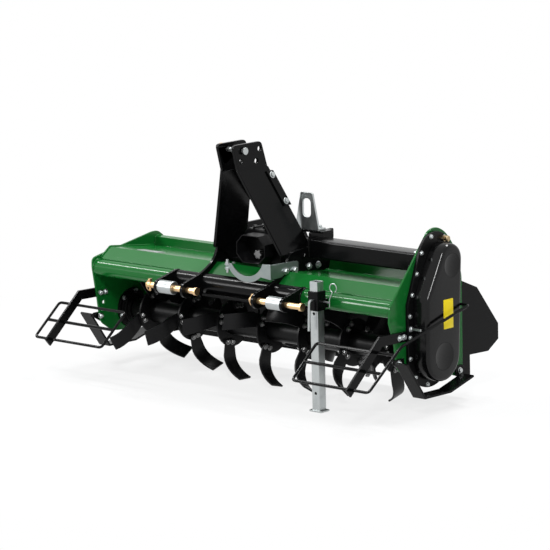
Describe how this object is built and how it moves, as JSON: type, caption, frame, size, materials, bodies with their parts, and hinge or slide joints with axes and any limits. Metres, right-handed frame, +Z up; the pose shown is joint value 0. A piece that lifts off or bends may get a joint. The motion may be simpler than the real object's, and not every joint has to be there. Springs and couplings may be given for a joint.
{
  "type": "rotary tiller",
  "caption": "Tractor-mounted rotary tiller: spinning tine rotor under a green hood, side gear case, hitch mast, crop guards, skids, hinged tail board and parking leg.",
  "frame": {"origin": "middle of the machine's length and depth, on the floor the tines and the parking leg stand on", "axes": "+X along the rotor to the end with the gear case, -Y towards the tractor, +Z up"},
  "size_m": [1.6964, 0.8738, 0.9303],
  "materials": {
    "green_paint": "gloss green paint",
    "black_paint": "satin black paint",
    "zinc_plate": "bright zinc plating",
    "gold_zinc": "yellow passivated zinc",
    "tine_steel": "dark forged steel under thin black paint",
    "bare_steel": "oiled bare steel"
  },
  "bodies": {
    "frame": {"bearing_housing": "black_paint", "drive_beam": "black_paint", "front_tube": "green_paint", "gear_case": "black_paint", "gear_cover": "black_paint", "gearbox": "black_paint", "guard_left": "black_paint", "guard_right": "black_paint", "headstock_left": "black_paint", "headstock_right": "black_paint", "hinge_rod": "bare_steel", "hood_sheet": "green_paint", "lift_bracket": "black_paint", "lift_plate": "zinc_plate", "lower_pin_left": "gold_zinc", "lower_pin_right": "gold_zinc", "lynch_pin_left": "gold_zinc", "lynch_pin_right": "gold_zinc", "mast_brace": "black_paint", "mast_left": "black_paint", "mast_right": "black_paint", "outer_lug_left": "black_paint", "outer_lug_right": "black_paint", "pin_bush_left": "zinc_plate", "pin_bush_right": "zinc_plate", "shaft_guard": "black_paint", "shaft_holder": "zinc_plate", "side_plate_left": "green_paint", "side_plate_right": "green_paint", "skid_left": "black_paint", "skid_right": "black_paint", "stand_pin": "zinc_plate", "stand_sleeve": "black_paint", "top_lynch_pin": "gold_zinc", "top_pin": "zinc_plate", "tube_shell_left": "black_paint", "tube_shell_middle": "black_paint", "tube_shell_right": "black_paint"},
    "rotor": {"rotor_tube": "black_paint", "tine_set_1": "tine_steel", "tine_set_2": "tine_steel", "tine_set_3": "tine_steel", "tine_set_4": "tine_steel", "tine_set_5": "tine_steel", "tine_set_6": "tine_steel", "tine_set_7": "tine_steel"},
    "input_shaft": {"input_shaft": "bare_steel"},
    "tail_board": {"tail_board": "black_paint"},
    "stand_leg": {"stand_leg": "zinc_plate"}
  },
  "joints": [
    {"name": "rotor_spin", "type": "hinge", "parent": "frame", "child": "rotor", "pos_m": [-0.00692, 0.01493, 0.20829], "axis": [1, 0, 0], "continuous": true},
    {"name": "input_spin", "type": "hinge", "parent": "frame", "child": "input_shaft", "pos_m": [-0.00692, -0.04507, 0.50229], "axis": [0, 1, 0], "continuous": true},
    {"name": "board_lift", "type": "hinge", "parent": "frame", "child": "tail_board", "pos_m": [-0.00692, 0.20093, 0.45029], "axis": [1, 0, 0], "range_deg": [0, 50]},
    {"name": "stand_slide", "type": "slide", "parent": "frame", "child": "stand_leg", "axis": [0, 0, 1], "range_m": [0, 0.34]}
  ],
  "couplings": [
    {"joint": "input_spin", "follows": "rotor_spin", "ratio": 2.4}
  ]
}
